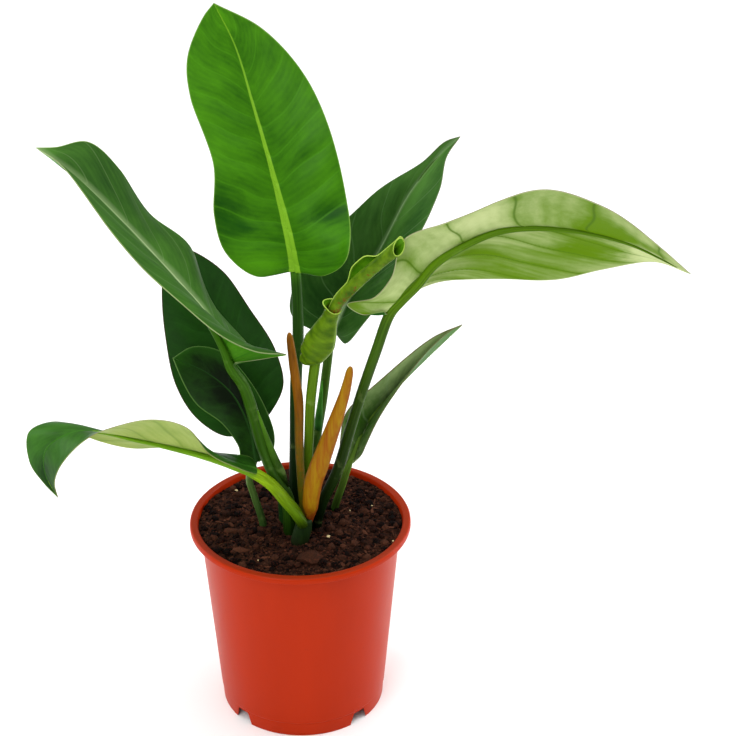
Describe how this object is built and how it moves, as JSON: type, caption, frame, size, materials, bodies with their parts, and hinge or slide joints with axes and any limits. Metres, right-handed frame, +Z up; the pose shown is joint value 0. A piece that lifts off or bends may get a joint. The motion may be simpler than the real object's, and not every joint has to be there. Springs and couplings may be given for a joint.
{
  "type": "potted philodendron",
  "caption": "Philodendron with broad long-stalked leaves and a rolled young leaf on a short stem in soil, in a tapered round plastic nursery pot with a rolled rim and notched foot.",
  "frame": {"origin": "middle of the pot's underside, on the pot's axis, on the surface that the pot stands on", "axes": "+Z up along the pot's axis, -Y towards the front of the plant as pictured, +X to the right from the front"},
  "size_m": [0.4647, 0.2294, 0.541],
  "materials": {
    "pot_plastic": "injection-moulded polypropylene, terracotta red, satin",
    "potting_soil": "moist peat and bark potting mix, rough",
    "stem_skin": "smooth living stem skin",
    "leaf_bright": "glossy young leaf, lime midrib",
    "leaf_green": "glossy mature leaf",
    "leaf_dark": "glossy dark mature leaf",
    "leaf_pale": "leaf seen from its pale satin underside",
    "leaf_young": "rolled young leaf, satin lime green",
    "dry_sheath": "dry orange-brown leaf sheath"
  },
  "bodies": {
    "root": {"pot": "pot_plastic", "soil": "potting_soil", "stem": "stem_skin", "leaf_upright": "leaf_bright", "leaf_high_left": "leaf_green", "leaf_back_left": "leaf_dark", "leaf_small_left": "leaf_dark", "leaf_back_right": "leaf_dark", "leaf_low_left": "leaf_pale", "leaf_high_right": "leaf_pale", "leaf_low_right": "leaf_dark", "leaf_young": "leaf_young", "sheath_left": "dry_sheath", "sheath_right": "dry_sheath"}
  },
  "joints": []
}
